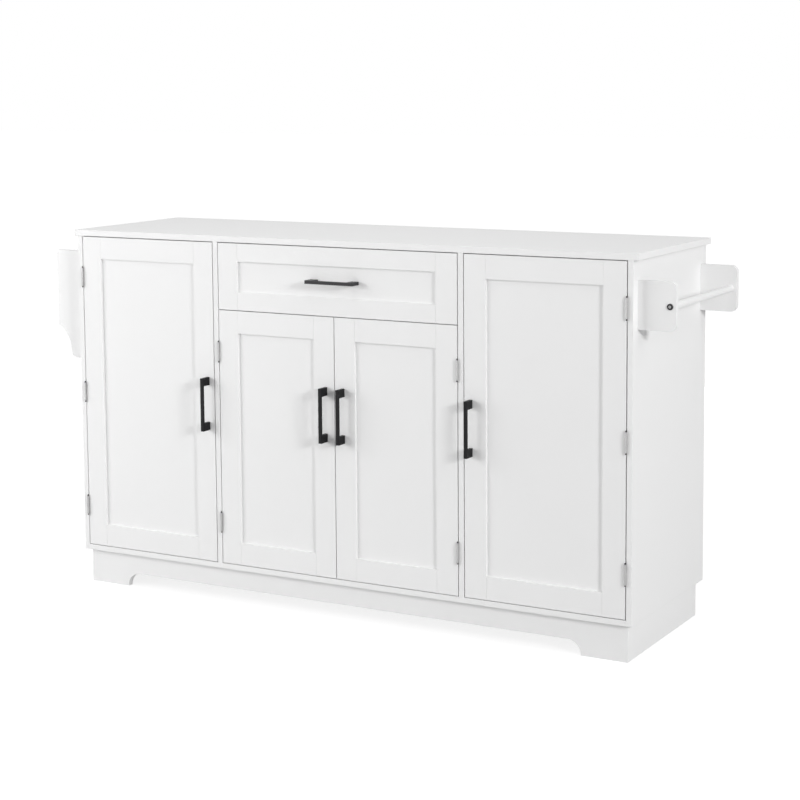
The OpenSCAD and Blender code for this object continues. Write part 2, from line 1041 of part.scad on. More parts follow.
module slide_drawer_members() {
    color(steel)
        on_both_sides()
            left_slide_run(0, slide_length)
                channel(slide_space, inner_web, drawer_half_height, slide_sheet, 0);
}

// Ball cage whose web lies at out and whose balls run half_height above and below the middle
module ball_cage(out, half_height) {
    start = (slide_length - cage_length) / 2;
    step = cage_length / ball_count;
    difference() {
        left_slide_run(start, cage_length)
            channel(out, lip_out - lip_gap, half_height + cage_sheet / 2, cage_sheet, 0);
        ball_places(start + step / 2, step, half_height)
            cylinder(d = ball_d + 2 * run_gap, h = ball_d, center = true);
    }
    ball_places(start + step / 2, step, half_height)
        sphere(d = ball_d);
}

module ball_places(start, step, half_height) {
    for (i = [0 : ball_count - 1])
        for (up = [-1, 1])
            translate([-centre_half + ball_out, slide_y + start + i * step, slide_z + up * half_height])
                children();
}

module outer_ball_cages() {
    color(steel)
        on_both_sides()
            ball_cage(slide_sheet + member_gap, middle_half_height + track / 2);
}

module inner_ball_cages() {
    color(steel)
        on_both_sides()
            ball_cage(middle_web + slide_sheet + member_gap, drawer_half_height + track / 2);
}

module towel_bracket(y) {
    color(paint)
        on_right()
            difference() {
                left_upright(y, towel_z, rack_board)
                    rounded_outside([towel_reach, towel_height], towel_corner);
                towel_screws(fit_gap);
                rod_y([-half_width - towel_rod_out, y - cut, towel_rod_z],
                      rod_bolt_d + 2 * fit_gap, rack_board + 2 * cut);
            }
}

module towel_bracket_front() {
    towel_bracket(rack_front_y);
}

module towel_bracket_rear() {
    towel_bracket(rack_rear_y);
}

module towel_rod() {
    length = rack_rear_y - rack_inner_front;
    color(paint)
        on_right()
            difference() {
                rod_y([-half_width - towel_rod_out, rack_inner_front, towel_rod_z], towel_rod_d, length);
                for (y = [rack_inner_front - cut, rack_rear_y - rod_bolt_bite - fit_gap])
                    rod_y([-half_width - towel_rod_out, y, towel_rod_z],
                          rod_bolt_d + 2 * fit_gap, rod_bolt_bite + fit_gap + cut);
            }
}

// Furniture bolt that points to the back, its head's seat on the origin
module rod_bolt() {
    rim = rod_bolt_head_height / 2;
    rod_y([0, 0, 0], rod_bolt_d, rack_board + rod_bolt_bite);
    rotate([90, 0, 0])
        difference() {
            union() {
                cylinder(d = rod_bolt_head_d, h = rim);
                translate([0, 0, rim])
                    cylinder(d1 = rod_bolt_head_d, d2 = rod_bolt_face_d, h = rim);
            }
            translate([0, 0, rod_bolt_socket_floor])
                cylinder(d = rod_bolt_socket_d, h = rod_bolt_head_height, $fn = 6);
        }
}

module towel_rod_bolts() {
    middle = (rack_front_y + rack_rear_y + rack_board) / 2;
    color(black)
        for (rear = [0, 1])
            translate([half_width + towel_rod_out, middle, towel_rod_z])
                mirror([0, rear, 0])
                    translate([0, rack_front_y - middle, 0])
                        rod_bolt();
}

// Rectangle of [reach, height] that is square at the wall and rounded at its outer corners
module rounded_outside(size, r) {
    difference() {
        translate([-2 * r, 0])
            rounded_rect([size[0] + 2 * r, size[1]], r);
        translate([-3 * r, -cut])
            square([3 * r, size[1] + 2 * cut]);
    }
}

module spice_end_outline() {
    difference() {
        translate([0, spice_toe])
            rounded_outside([spice_reach, spice_height - spice_toe], spice_corner);
        translate([spice_foot + spice_scoop, spice_toe])
            circle(r = spice_scoop);
    }
    square([spice_foot - spice_toe, spice_toe + cut]);
    translate([spice_foot - spice_toe, spice_toe])
        circle(r = spice_toe);
}

module spice_end(y) {
    color(paint)
        difference() {
            left_upright(y, spice_z, rack_board)
                spice_end_outline();
            spice_screws(fit_gap);
        }
}

module spice_end_front() {
    spice_end(rack_front_y);
}

module spice_end_rear() {
    spice_end(rack_rear_y);
}

module spice_shelves() {
    color(paint)
        for (tier = spice_tiers)
            slab([-half_width - tier[1] + slat_thick, rack_inner_front, tier[0]],
                 [-half_width, rack_rear_y, tier[0] + rack_board]);
}

module spice_guard_slats() {
    color(paint)
        for (tier = spice_tiers)
            slab([-half_width - tier[1] + spice_slat_inset, rack_inner_front,
                  tier[0] + rack_board + slat_space],
                 [-half_width - tier[1] + spice_slat_inset + slat_thick, rack_rear_y,
                  tier[0] + rack_board + slat_space + slat_height]);
}

module panel_screws() {
    color(steel) {
        spice_screws();
        on_right()
            towel_screws();
        on_both_sides()
            divider_screws();
    }
}

module cam_fittings() {
    color(steel)
        on_both_sides()
            cam_places()
                cam_fitting();
}

worktop();
left_side_panel();
right_side_panel();
left_divider();
right_divider();
bottom_panel();
back_panels();
drawer_stretchers();
plinth_front();
plinth_ends();
plinth_back();
plinth_braces();
side_bay_shelves();
centre_shelf();
shelf_pins();
magnetic_catches();
frame_hinge_leaves();
hinge_pins();
slide_cabinet_members();
towel_bracket_front();
towel_bracket_rear();
towel_rod();
towel_rod_bolts();
spice_end_front();
spice_end_rear();
spice_shelves();
spice_guard_slats();
panel_screws();
cam_fittings();
left_door_frame();
left_door_panel();
left_door_pull();
left_door_hinge_leaves();
left_door_strike();
centre_left_door_frame();
centre_left_door_panel();
centre_left_door_pull();
centre_left_door_hinge_leaves();
centre_left_door_strike();
centre_right_door_frame();
centre_right_door_panel();
centre_right_door_pull();
centre_right_door_hinge_leaves();
centre_right_door_strike();
right_door_frame();
right_door_panel();
right_door_pull();
right_door_hinge_leaves();
right_door_strike();
drawer_front_frame();
drawer_front_panel();
drawer_pull();
drawer_sides();
drawer_box_front();
drawer_box_back();
drawer_bottom();
slide_drawer_members();
slide_middle_members();
outer_ball_cages();
inner_ball_cages();
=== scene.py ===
"""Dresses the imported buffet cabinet: eased boards, lacquer, black pulls, hinges, slides and screws."""

import json
import math

import bmesh
import bpy
from bpy.props import FloatProperty, FloatVectorProperty, IntProperty, PointerProperty
from mathutils import Matrix, Vector


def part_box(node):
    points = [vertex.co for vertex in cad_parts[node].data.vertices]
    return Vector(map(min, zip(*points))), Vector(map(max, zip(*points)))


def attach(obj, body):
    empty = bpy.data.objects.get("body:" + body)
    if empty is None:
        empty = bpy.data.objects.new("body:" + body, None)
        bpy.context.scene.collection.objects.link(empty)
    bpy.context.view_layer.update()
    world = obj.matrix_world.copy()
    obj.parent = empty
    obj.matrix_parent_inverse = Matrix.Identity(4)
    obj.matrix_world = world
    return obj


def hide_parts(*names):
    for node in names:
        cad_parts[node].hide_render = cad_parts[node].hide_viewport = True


bl_info = {
    "name": "Buffet Cabinet",
    "version": (1, 0, 0),
    "blender": (4, 5, 0),
    "location": "View3D > Sidebar > Buffet",
    "description": "Finishes a framed-front buffet cabinet with a drawer, a towel rack and a spice rack",
    "category": "Object",
}

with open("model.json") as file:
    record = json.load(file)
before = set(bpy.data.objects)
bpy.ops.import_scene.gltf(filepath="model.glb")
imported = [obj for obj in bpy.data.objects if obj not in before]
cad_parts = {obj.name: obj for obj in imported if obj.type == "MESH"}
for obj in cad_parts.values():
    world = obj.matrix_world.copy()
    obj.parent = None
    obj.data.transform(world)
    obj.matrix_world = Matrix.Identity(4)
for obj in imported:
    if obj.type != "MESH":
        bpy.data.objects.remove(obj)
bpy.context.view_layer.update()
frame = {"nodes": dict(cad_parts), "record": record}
RECORD = frame["record"]
BODY_OF = {node: body for body, nodes in RECORD["behaviour"]["bodies"].items() for node in nodes}
DOORS = ("left_door", "centre_left_door", "centre_right_door", "right_door")
MM = 0.001

OUTER_BOARDS = (
    "worktop", "left_side_panel", "right_side_panel", "plinth_front", "plinth_ends", "plinth_back",
)
INNER_BOARDS = (
    "left_divider", "right_divider", "bottom_panel", "drawer_stretchers", "side_bay_shelves", "centre_shelf",
)
RACK_BOARDS = (
    "towel_bracket_front", "towel_bracket_rear", "towel_rod", "spice_end_front", "spice_end_rear",
    "spice_shelves", "spice_guard_slats",
)
DRAWER_BOARDS = ("drawer_sides", "drawer_box_front", "drawer_box_back")
THIN_BOARDS = ("back_panels", "drawer_bottom", "plinth_braces")
SLIDE_PARTS = ("slide_cabinet_members", "slide_middle_members", "slide_drawer_members")
CAGES = ("outer_ball_cages", "inner_ball_cages")

# Eased copies: how near two points are one, how flat a seam is no edge, and which edges are rounded
WELD = 0.002 * MM
SEAM_ANGLE = math.radians(0.4)
EDGE_ANGLE = math.radians(32)
SHADE_ANGLE = math.radians(34)
SHORTEST_EDGE = 1.1 * MM
EASE_SEGMENTS = 3

# Where the CAD leaves room for the screws
HINGE_LENGTH = 47 * MM
LEAF_THICK = 1.1 * MM
LEAF_HOLE_RISE = 0.32 * HINGE_LENGTH
LEAF_HOLE_Y = -201 * MM
KNUCKLE_OVERHANG = 1.4 * MM
HINGE_HEAD_SUNK = 0.86 * MM
PULL_LEG = 20 * MM
CATCH_SCREW_INSET = 5 * MM
DRAWER_SCREW_INSET = 14 * MM
DRAWER_SCREW_RISE = 28 * MM
SLIDE_SCREW_SHARES = (0.09, 0.42, 0.91)
SLIDE_SCREW_PROUD = 0.2 * MM

# Screw heads: corners of the rim, reach of the cross over the crown, and sharp edges
HEAD_CORNERS = 24
CROSS_REACH = 0.62
HEAD_SHADE_ANGLE = math.radians(30)

# Rod bolts and powder coat
BOLT_SOCKET = 3.1 * MM
POWDER_GLOSS = 0.15

# Stage
SENSOR_WIDTH = 36.0
WHITE = (1.0, 1.0, 1.0, 1.0)
FLOOR_REACH = 30.0
FLOOR_BOUNCE = (0.60, 0.60, 0.60, 1.0)
FLOOR_SHADE = (0.26, 0.26, 0.26, 1.0)
GLOW_NEAR = 0.9
GLOW_FAR = 2.4


class BuffetFinish(bpy.types.PropertyGroup):
    """Colours and surface finishes."""

    lacquer: FloatVectorProperty(
        name="Lacquer", description="Colour of the painted boards", subtype="COLOR",
        size=3, min=0.0, max=1.0, default=(0.875, 0.875, 0.875))
    lacquer_roughness: FloatProperty(
        name="Lacquer Roughness", description="Roughness of the satin lacquer", subtype="FACTOR",
        min=0.0, max=1.0, default=0.50)
    backing: FloatVectorProperty(
        name="Backing", description="Colour of the thin back panels and the drawer bottom", subtype="COLOR",
        size=3, min=0.0, max=1.0, default=(0.80, 0.80, 0.795))
    pull_black: FloatVectorProperty(
        name="Pull Black", description="Colour of the powder-coated pulls", subtype="COLOR",
        size=3, min=0.0, max=1.0, default=(0.010, 0.010, 0.011))
    # Painted light: the drawer's pull has the same powder coat as the doors' pulls. This paler colour paints
    # in the light from above that its upward-facing faces catch.
    drawer_pull_painted_light: FloatVectorProperty(
        name="Drawer Pull Black", description="Colour of the drawer's pull, a little paler than the doors'",
        subtype="COLOR", size=3, min=0.0, max=1.0, default=(0.048, 0.048, 0.050))
    bolt_black: FloatVectorProperty(
        name="Bolt Black", description="Colour of the towel rod's bolts around their sockets",
        subtype="COLOR", size=3, min=0.0, max=1.0, default=(0.045, 0.045, 0.047))
    steel: FloatVectorProperty(
        name="Steel", description="Colour of slides, strikes, shelf pins and screws", subtype="COLOR",
        size=3, min=0.0, max=1.0, default=(0.60, 0.60, 0.60))
    hinge_steel: FloatVectorProperty(
        name="Hinge Steel", description="Colour of the hinge leaves and their barrels",
        subtype="COLOR", size=3, min=0.0, max=1.0, default=(0.46, 0.46, 0.46))
    dark_steel: FloatVectorProperty(
        name="Dark Steel", description="Colour of the hinge pins and of the slides' screws", subtype="COLOR",
        size=3, min=0.0, max=1.0, default=(0.04, 0.04, 0.04))
    catch_plastic: FloatVectorProperty(
        name="Catch Plastic", description="Colour of the magnetic catches", subtype="COLOR",
        size=3, min=0.0, max=1.0, default=(0.82, 0.82, 0.80))


class BuffetSizes(bpy.types.PropertyGroup):
    """Sizes of the rounded edges and of the screws."""

    board_ease: FloatProperty(
        name="Board Edge", description="Radius of the lacquered boards' edges", unit="LENGTH",
        min=0.0001, max=0.002, default=0.0007)
    front_ease: FloatProperty(
        name="Front Edge", description="Radius of the edges of doors and drawer front", unit="LENGTH",
        min=0.0001, max=0.002, default=0.00035)
    hinge_ease: FloatProperty(
        name="Hinge Edge", description="Radius of the knuckles' and leaves' edges", unit="LENGTH",
        min=0.0001, max=0.001, default=0.0004)
    pull_ease: FloatProperty(
        name="Pull Edge", description="Radius of the pulls' long edges", unit="LENGTH",
        min=0.0001, max=0.002, default=0.0005)
    hinge_screw: FloatProperty(
        name="Hinge Screw", description="Head diameter of the hinge screws", unit="LENGTH",
        min=0.003, max=0.008, default=0.0052)
    pull_screw: FloatProperty(
        name="Pull Screw", description="Head diameter of the screws behind the pulls", unit="LENGTH",
        min=0.005, max=0.010, default=0.0076)
    slide_screw: FloatProperty(
        name="Slide Screw", description="Head diameter of the slide screws", unit="LENGTH",
        min=0.004, max=0.008, default=0.0066)
    screw_seed: IntProperty(
        name="Screw Seed", description="Seed of the turn of each screw's cross", min=0, default=7)


class BuffetStage(bpy.types.PropertyGroup):
    """Camera, light and floor."""

    focal_length: FloatProperty(
        name="Focal Length", description="Camera lens on a 36 mm sensor, in millimetres", unit="CAMERA",
        min=20.0, max=300.0, default=85.79)
    camera_place: FloatVectorProperty(
        name="Camera Place", description="Camera position", subtype="TRANSLATION", unit="LENGTH",
        size=3, default=(2.3185, -4.0301, 1.3095))
    camera_turn: FloatVectorProperty(
        name="Camera Turn", description="Camera heading, downward tilt and roll", subtype="EULER",
        unit="ROTATION", size=3,
        default=(math.radians(29.238), math.radians(6.255), math.radians(-0.413)))
    camera_shift: FloatProperty(
        name="Camera Shift", description="Vertical lens shift that keeps uprights almost parallel",
        min=-1.0, max=1.0, default=-0.15)
    sky: FloatProperty(
        name="Sky", description="Strength of the even light from all sides", min=0.0, max=2.0, default=0.20)
    floor_glow: FloatProperty(
        name="Floor Glow", description="Share of the floor's white that takes no shadow beside the cabinet",
        subtype="FACTOR", min=0.0, max=1.0, default=0.84)


def node_box(node):
    """Lowest and highest corner of a CAD node as two vectors."""
    low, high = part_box(node)
    return Vector(low), Vector(high)


def rides_as(piece, node):
    """Makes the piece move as the CAD node does."""
    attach(piece, BODY_OF[node])


def new_piece(name, mesh, material):
    """Links a mesh as a piece that sits at the origin."""
    mesh.materials.clear()
    mesh.materials.append(material)
    piece = bpy.data.objects.new(name, mesh)
    bpy.context.scene.collection.objects.link(piece)
    return piece


class Wire:
    """One output of a node tree. Arithmetic on it adds Math nodes."""

    def __init__(self, tree, socket=None):
        self.tree = tree
        self.socket = socket

    def node(self, kind, settings=None, sockets=None, output=0):
        """Adds a node, sets its settings and then its sockets, and returns one of its outputs."""
        made = self.tree.nodes.new(kind)
        for name, value in (settings or {}).items():
            setattr(made, name, value)
        for name, value in (sockets or {}).items():
            if isinstance(value, Wire):
                self.tree.links.new(value.socket, made.inputs[name])
            else:
                made.inputs[name].default_value = value
        return Wire(self.tree, made.outputs[output] if made.outputs else None)

    def math(self, operation, first, second):
        """Adds a Math node for two wires or numbers."""
        return self.node("ShaderNodeMath", {"operation": operation}, {0: first, 1: second})

    def __add__(self, other):
        return self.math("ADD", self, other)

    __radd__ = __add__

    def __mul__(self, other):
        return self.math("MULTIPLY", self, other)

    __rmul__ = __mul__

    def __sub__(self, other):
        return self.math("SUBTRACT", self, other)

    def __rsub__(self, other):
        return self.math("SUBTRACT", other, self)


def empty_material(name):
    """A material with an empty tree, and the wire that adds nodes to it."""
    material = bpy.data.materials.new(name)
    material.use_nodes = True
    material.node_tree.nodes.clear()
    return material, Wire(material.node_tree)


def place_on_piece(wire, stretch=(1.0, 1.0, 1.0)):
    """Object coordinates, stretched for a grain that has a direction."""
    place = wire.node("ShaderNodeTexCoord", output="Object")
    return wire.node("ShaderNodeMapping", None, {"Vector": place, "Scale": stretch})


def noise(wire, place, scale, detail=2.0, roughness=0.5):
    """Fractal noise from 0 to 1, with about scale grains to the metre."""
    return wire.node("ShaderNodeTexNoise", None,
                     {"Vector": place, "Scale": scale, "Detail": detail, "Roughness": roughness})


def tint(wire, amount, colour, darker):
    """The colour where amount is 1, and its darker shade where amount is 0."""
    shade = [channel * darker for channel in colour]
    return wire.node("ShaderNodeMix", {"data_type": "RGBA"},
                     {0: amount, 6: (*shade, 1.0), 7: (*colour, 1.0)}, output=2)


def bump(wire, height, strength, distance):
    """Normals of a surface whose grains stand up by the distance."""
    return wire.node("ShaderNodeBump", None, {"Height": height, "Strength": strength, "Distance": distance})


def close_material(wire, sockets):
    """Ends the tree in one Principled shader."""
    shader = wire.node("ShaderNodeBsdfPrincipled", None, sockets)
    wire.node("ShaderNodeOutputMaterial", None, {"Surface": shader})


def lacquer_material(name, colour, roughness, stipple=1.0):
    """Sprayed satin lacquer: soft clouds of tone, an orange-peel surface and a few finer specks."""
    material, wire = empty_material(name)
    place = place_on_piece(wire)
    cloud = noise(wire, place, scale=2.6, detail=3.0, roughness=0.55)
    peel = noise(wire, place, scale=620.0, roughness=0.45)
    speck = noise(wire, place, scale=1900.0, detail=1.0)
    close_material(wire, {
        "Base Color": tint(wire, cloud * 0.8 + peel * 0.2, colour, darker=0.975),
        "Roughness": roughness + (peel - 0.5) * 0.10 + (cloud - 0.5) * 0.06,
        "Normal": bump(wire, peel * 0.8 + speck * 0.2, strength=0.35 * stipple, distance=0.10 * MM),
        "IOR": 1.42,
    })
    return material


def foil_material(name, colour, roughness):
    """Paper foil on thin fibreboard: a faint stretched print grain and pressed pores."""
    material, wire = empty_material(name)
    upright = place_on_piece(wire, stretch=(1.0, 1.0, 0.06))
    along = noise(wire, upright, scale=160.0, detail=3.0, roughness=0.6)
    pores = noise(wire, place_on_piece(wire), scale=1100.0, roughness=0.6)
    close_material(wire, {
        "Base Color": tint(wire, along * 0.7 + pores * 0.3, colour, darker=0.955),
        "Roughness": roughness + (pores - 0.5) * 0.14,
        "Normal": bump(wire, pores, strength=0.30, distance=0.12 * MM),
    })
    return material


def powder_material(name, colour):
    """Matt powder coat: fine round grains that catch the light, on a slightly uneven black."""
    material, wire = empty_material(name)
    place = place_on_piece(wire)
    grain = noise(wire, place, scale=1500.0, roughness=0.55)
    cloud = noise(wire, place, scale=45.0)
    close_material(wire, {
        "Base Color": tint(wire, grain * 0.6 + cloud * 0.4, colour, darker=0.72),
        "Roughness": 0.46 + (grain - 0.5) * 0.20,
        "Normal": bump(wire, grain, strength=0.45, distance=0.12 * MM),
        "Specular IOR Level": POWDER_GLOSS,
    })
    return material


def socket_bolt_material(name, colour, socket_colour):
    """Powder-coated bolt heads whose sockets show bare steel."""
    material, wire = empty_material(name)
    low, high = node_box("towel_rod_bolts")
    place = place_on_piece(wire)
    from_axis = wire.node("ShaderNodeVectorMath", {"operation": "SUBTRACT"}, {
        0: place, 1: ((low.x + high.x) / 2, 0.0, (low.z + high.z) / 2)})
    flat = wire.node("ShaderNodeVectorMath", {"operation": "MULTIPLY"}, {0: from_axis, 1: (1.0, 0.0, 1.0)})
    radius = wire.node("ShaderNodeVectorMath", {"operation": "LENGTH"}, {0: flat}, output="Value")
    bare = wire.node("ShaderNodeMapRange", {"interpolation_type": "SMOOTHSTEP"}, {
        "Value": radius, "From Min": BOLT_SOCKET * 0.9, "From Max": BOLT_SOCKET * 1.1,
        "To Min": 1.0, "To Max": 0.0})
    grain = noise(wire, place, scale=1500.0, roughness=0.55)
    coat = tint(wire, grain, colour, darker=0.72)
    steel = tint(wire, grain, socket_colour, darker=0.80)
    both = wire.node("ShaderNodeMix", {"data_type": "RGBA"}, {0: bare, 6: coat, 7: steel}, output=2)
    close_material(wire, {
        "Base Color": both,
        "Metallic": bare,
        "Roughness": 0.44 + (grain - 0.5) * 0.20,
        "Normal": bump(wire, grain, strength=0.30, distance=0.12 * MM),
        "Specular IOR Level": POWDER_GLOSS,
    })
    return material


def steel_material(name, colour, roughness, stretch):
    """Plated steel: drawn streaks along the part, with soft patches in the plating."""
    material, wire = empty_material(name)
    streak = noise(wire, place_on_piece(wire, stretch), scale=1400.0, detail=3.0, roughness=0.6)
    patch = noise(wire, place_on_piece(wire), scale=55.0)
    close_material(wire, {
        "Base Color": tint(wire, streak * 0.6 + patch * 0.4, colour, darker=0.80),
        "Metallic": 1.0,
        "Roughness": roughness + (streak - 0.5) * 0.16 + (patch - 0.5) * 0.10,
        "Normal": bump(wire, streak, strength=0.20, distance=0.06 * MM),
    })
    return material


def plastic_material(name, colour):
    """Moulded plastic with a fine spark-eroded texture."""
    material, wire = empty_material(name)
    place = place_on_piece(wire)
    grain = noise(wire, place, scale=2200.0)
    flow = noise(wire, place, scale=90.0)
    close_material(wire, {
        "Base Color": tint(wire, flow, colour, darker=0.965),
        "Roughness": 0.50 + (grain - 0.5) * 0.16,
        "Normal": bump(wire, grain, strength=0.35, distance=0.08 * MM),
    })
    return material


MATERIALS = {}


def material(name):
    """One of the cabinet's finishes, made when it is first asked for."""
    finish = bpy.context.scene.buffet_finish
    if name not in MATERIALS:
        makers = {
            "lacquer": lambda: lacquer_material("Satin_Lacquer", finish.lacquer, finish.lacquer_roughness),
            "inner_lacquer": lambda: lacquer_material(
                "Inner_Lacquer", finish.lacquer, finish.lacquer_roughness + 0.08, stipple=1.5),
            "foil": lambda: foil_material("Board_Foil", finish.backing, roughness=0.55),
            "powder": lambda: powder_material("Powder_Coat", finish.pull_black),
            # Painted light: a paler copy of the powder coat for the drawer's pull, standing in for the light
            # from above
            "drawer_powder_painted_light": lambda: powder_material("Drawer_Powder_Painted_Light", finish.drawer_pull_painted_light),
            "rod_bolt": lambda: socket_bolt_material("Rod_Bolt", finish.bolt_black, finish.hinge_steel),
            "steel_upright": lambda: steel_material(
                "Hinge_Steel", finish.hinge_steel, roughness=0.38, stretch=(1.0, 1.0, 0.08)),
            "steel_deep": lambda: steel_material(
                "Slide_Steel", finish.steel, roughness=0.34, stretch=(1.0, 0.04, 1.0)),
            "steel_dark": lambda: steel_material(
                "Dark_Steel", finish.dark_steel, roughness=0.34, stretch=(1.0, 1.0, 1.0)),
            "plastic": lambda: plastic_material("Catch_Plastic", finish.catch_plastic),
        }
        MATERIALS[name] = makers[name]()
    return MATERIALS[name]


def paint_node(node, finish):
    """Gives a CAD node that keeps its own mesh a finish."""
    mesh_object = frame["nodes"][node]
    if not mesh_object.material_slots:
        raise RuntimeError(f"{node} has no material slot")
    for slot in mesh_object.material_slots:
        slot.material = finish


def eased_copy(node, radius, finish, shortest=SHORTEST_EDGE):
    """Replaces a CAD node by a merged copy with rounded edges. Edges shorter than the limit stay sharp."""
    form = bmesh.new()
    form.from_mesh(frame["nodes"][node].data)
    bmesh.ops.remove_doubles(form, verts=form.verts, dist=WELD)
    bmesh.ops.dissolve_limit(form, angle_limit=SEAM_ANGLE, verts=form.verts, edges=form.edges,
                             use_dissolve_boundaries=False)
    sharp = [edge for edge in form.edges
             if edge.is_manifold and edge.calc_length() > shortest
             and edge.calc_face_angle_signed() > EDGE_ANGLE]
    bmesh.ops.bevel(form, geom=sharp, offset=radius, segments=EASE_SEGMENTS, profile=0.5, affect="EDGES",
                    clamp_overlap=True)
    for face in form.faces:
        face.smooth = True
    mesh = bpy.data.meshes.new(f"{node}_eased")
    form.to_mesh(mesh)
    form.free()
    mesh.set_sharp_from_angle(angle=SHADE_ANGLE)
    piece = new_piece(f"{node}_eased", mesh, finish)
    weigh = piece.modifiers.new("Face Weights", "WEIGHTED_NORMAL")
    weigh.mode = "FACE_AREA"
    weigh.keep_sharp = True
    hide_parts(node)
    rides_as(piece, node)
    return piece


def screw_tree(finish):
    """Node tree that stands a cross-recess screw head on every point of a mesh."""
    tree = bpy.data.node_groups.new("Screw Heads", "GeometryNodeTree")
    sockets = {}
    tree.interface.new_socket("Geometry", in_out="INPUT", socket_type="NodeSocketGeometry")
    for name, kind, default in (
            ("Seat Diameter", "NodeSocketFloat", 0.0050), ("Crown Diameter", "NodeSocketFloat", 0.0050),
            ("Head Height", "NodeSocketFloat", 0.0010), ("Cross Depth", "NodeSocketFloat", 0.0008),
            ("Cross Width", "NodeSocketFloat", 0.0009), ("Seed", "NodeSocketInt", 0)):
        made = tree.interface.new_socket(name, in_out="INPUT", socket_type=kind)
        made.default_value = default
        sockets[name] = made.identifier
    tree.interface.new_socket("Geometry", in_out="OUTPUT", socket_type="NodeSocketGeometry")
    wire = Wire(tree)
    given = {name: wire.node("NodeGroupInput", output=name) for name in ["Geometry", *sockets]}
    crown = given["Crown Diameter"]
    head = wire.node("GeometryNodeMeshCone", {"fill_type": "NGON"}, {
        "Vertices": HEAD_CORNERS, "Radius Top": crown * 0.5,
        "Radius Bottom": given["Seat Diameter"] * 0.5, "Depth": given["Head Height"]})
    bars = []
    for turn in (0.0, math.pi / 2):
        size = wire.node("ShaderNodeCombineXYZ", None, {
            "X": crown * CROSS_REACH, "Y": given["Cross Width"], "Z": given["Cross Depth"] * 2.0})
        bar = wire.node("GeometryNodeMeshCube", None, {"Size": size})
        lift = wire.node("ShaderNodeCombineXYZ", None, {"Z": given["Head Height"]})
        bars.append(wire.node("GeometryNodeTransform", None, {
            "Geometry": bar, "Translation": lift, "Rotation": (0.0, 0.0, turn)}))
    for bar in bars:
        head = cut_by(wire, head, bar)
    facing = wire.node("GeometryNodeInputNamedAttribute", {"data_type": "FLOAT_VECTOR"}, {"Name": "facing"})
    turned = wire.node("FunctionNodeAlignRotationToVector", {"axis": "Z"}, {"Vector": facing})
    spin = wire.node("FunctionNodeRandomValue", {"data_type": "FLOAT"},
                     {2: 0.0, 3: math.tau, "Seed": given["Seed"]}, output=1)
    about = wire.node("FunctionNodeAxisAngleToRotation", None, {"Axis": (0.0, 0.0, 1.0), "Angle": spin})
    placed = wire.node("FunctionNodeRotateRotation", {"rotation_space": "LOCAL"},
                       {"Rotation": turned, "Rotate By": about})
    screws = wire.node("GeometryNodeInstanceOnPoints", None,
                       {"Points": given["Geometry"], "Instance": head, "Rotation": placed})
    solid = wire.node("GeometryNodeRealizeInstances", None, {"Geometry": screws})
    finished = wire.node("GeometryNodeSetMaterial", None, {"Geometry": solid, "Material": finish})
    wire.node("NodeGroupOutput", None, {"Geometry": finished})
    return tree, sockets


def cut_by(wire, body, tool):
    """Cuts one mesh out of another in a geometry tree."""
    made = wire.tree.nodes.new("GeometryNodeMeshBoolean")
    made.operation = "DIFFERENCE"
    made.solver = "EXACT"
    wire.tree.links.new(body.socket, made.inputs["Mesh 1"])
    wire.tree.links.new(tool.socket, made.inputs["Mesh 2"])
    return Wire(wire.tree, made.outputs["Mesh"])


def screw_heads(name, body, places, inputs, finish):
    """Screw heads of one body. Each place is a point and the direction that its head faces."""
    seats = bpy.data.meshes.new(name)
    seats.from_pydata([place for place, _ in places], [], [])
    facing = seats.attributes.new("facing", "FLOAT_VECTOR", "POINT")
    for entry, (_, direction) in zip(facing.data, places):
        entry.vector = direction
    points = bpy.data.objects.new(name + "_points", seats)
    bpy.context.scene.collection.objects.link(points)
    tree, sockets = screw_tree(finish)
    heads = points.modifiers.new("Screw Heads", "NODES")
    heads.node_group = tree
    for label, value in inputs.items():
        heads[sockets[label]] = value
    bpy.context.view_layer.update()
    evaluated = points.evaluated_get(bpy.context.evaluated_depsgraph_get())
    mesh = bpy.data.meshes.new_from_object(evaluated)
    points.modifiers.remove(heads)
    bpy.data.objects.remove(points)
    if not mesh.polygons:
        raise RuntimeError(f"{name} came out empty")
    mesh.name = name
    mesh.set_sharp_from_angle(angle=HEAD_SHADE_ANGLE)
    piece = new_piece(name, mesh, finish)
    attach(piece, body)
    return piece


class BUFFET_OT_outer_boards(bpy.types.Operator):
    """Rounds the edges of worktop, side panels and plinth and lacquers them"""

    bl_idname = "buffet.outer_boards"
    bl_label = "Outer Boards"

    def execute(self, context):
        for node in OUTER_BOARDS:
            eased_copy(node, context.scene.buffet_sizes.board_ease, material("lacquer"))
        return {"FINISHED"}


class BUFFET_OT_inner_boards(bpy.types.Operator):
    """Finishes dividers, bottom, stretchers, shelves and the thin back panels"""

    bl_idname = "buffet.inner_boards"
    bl_label = "Inner Boards"

    def execute(self, context):
        for node in INNER_BOARDS:
            eased_copy(node, context.scene.buffet_sizes.front_ease, material("inner_lacquer"))
        for node in THIN_BOARDS:
            paint_node(node, material("foil"))
        return {"FINISHED"}


class BUFFET_OT_doors(bpy.types.Operator):
    """Eases the stiles and rails of the four doors and lacquers their panels"""

    bl_idname = "buffet.doors"
    bl_label = "Doors"

    def execute(self, context):
        for door in DOORS:
            eased_copy(f"{door}_frame", context.scene.buffet_sizes.front_ease, material("lacquer"))
            paint_node(f"{door}_panel", material("lacquer"))
        return {"FINISHED"}


class BUFFET_OT_drawer(bpy.types.Operator):
    """Finishes the drawer front and the drawer box"""

    bl_idname = "buffet.drawer"
    bl_label = "Drawer"

    def execute(self, context):
        sizes = context.scene.buffet_sizes
        eased_copy("drawer_front_frame", sizes.front_ease, material("lacquer"))
        paint_node("drawer_front_panel", material("lacquer"))
        for node in DRAWER_BOARDS:
            eased_copy(node, sizes.front_ease, material("inner_lacquer"))
        return {"FINISHED"}


